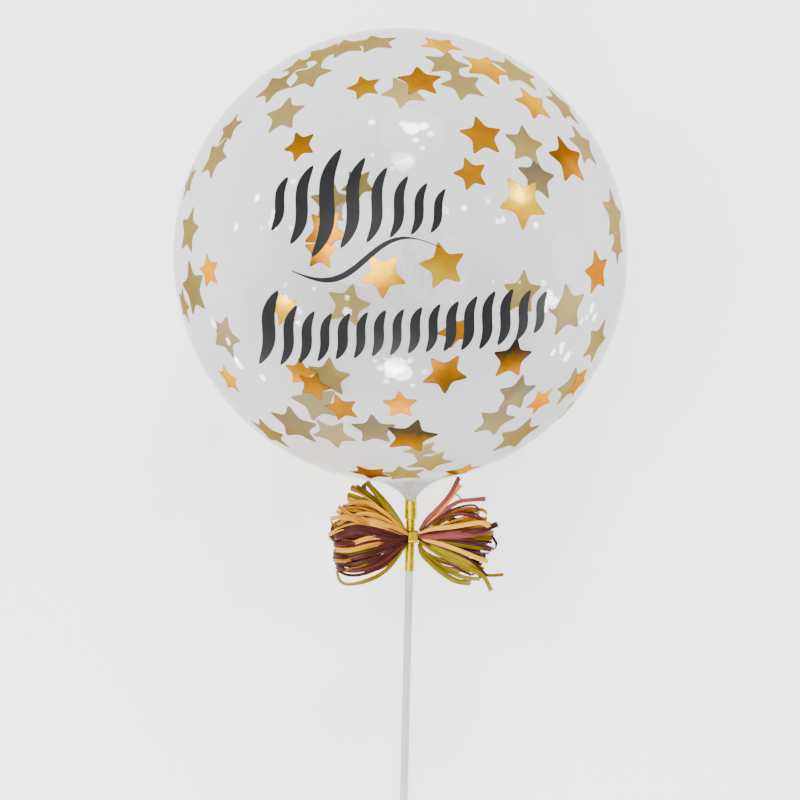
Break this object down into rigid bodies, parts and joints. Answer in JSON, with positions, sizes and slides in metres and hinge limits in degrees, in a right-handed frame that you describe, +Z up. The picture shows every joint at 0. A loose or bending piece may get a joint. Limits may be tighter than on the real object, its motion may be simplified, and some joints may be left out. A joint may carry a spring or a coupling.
{
  "type": "bubble balloon on a stick",
  "caption": "Clear round film balloon with gold star and dark stroke marks, on a white tube stick, with a ribbon-bound neck and a raffia bow. It lies on its back.",
  "frame": {"origin": "centre of the bounding box's underside, on the floor that the balloon lies on", "axes": "+Z up, with the balloon's decorated front facing up; +Y from the stick's lower end towards the balloon; +X to the right as the front is read"},
  "size_m": [0.4499, 0.9404, 0.4477],
  "materials": {
    "clear_film": "thin clear film, glossy, with gold star marks and dark stroke marks printed or stuck on it",
    "gold_print": "thin gold foil stars on the film, bright orange gold outside and pale champagne inside",
    "dark_print": "thin charcoal strokes stuck on the film, satin",
    "stick_plastic": "white translucent plastic, satin",
    "dull_gold_ribbon": "satin ribbon in dull olive gold, wound tightly",
    "bright_gold_ribbon": "shiny bright gold ribbon",
    "raffia_tan": "dry natural raffia, fibrous and satin",
    "raffia_wine": "raffia dyed wine red, fibrous and satin",
    "raffia_olive": "raffia dyed olive gold, fibrous and satin"
  },
  "bodies": {
    "root": {"balloon": "clear_film", "stick": "stick_plastic", "neck_ribbon": "dull_gold_ribbon", "bow_tie": "bright_gold_ribbon", "raffia_tan_1": "raffia_tan", "raffia_tan_2": "raffia_tan", "raffia_tan_3": "raffia_tan", "raffia_tan_4": "raffia_tan", "raffia_wine_1": "raffia_wine", "raffia_wine_2": "raffia_wine", "raffia_wine_3": "raffia_wine", "raffia_wine_4": "raffia_wine", "raffia_wine_5": "raffia_wine", "raffia_olive_1": "raffia_olive", "raffia_olive_2": "raffia_olive", "raffia_olive_3": "raffia_olive", "raffia_olive_4": "raffia_olive"}
  },
  "joints": []
}
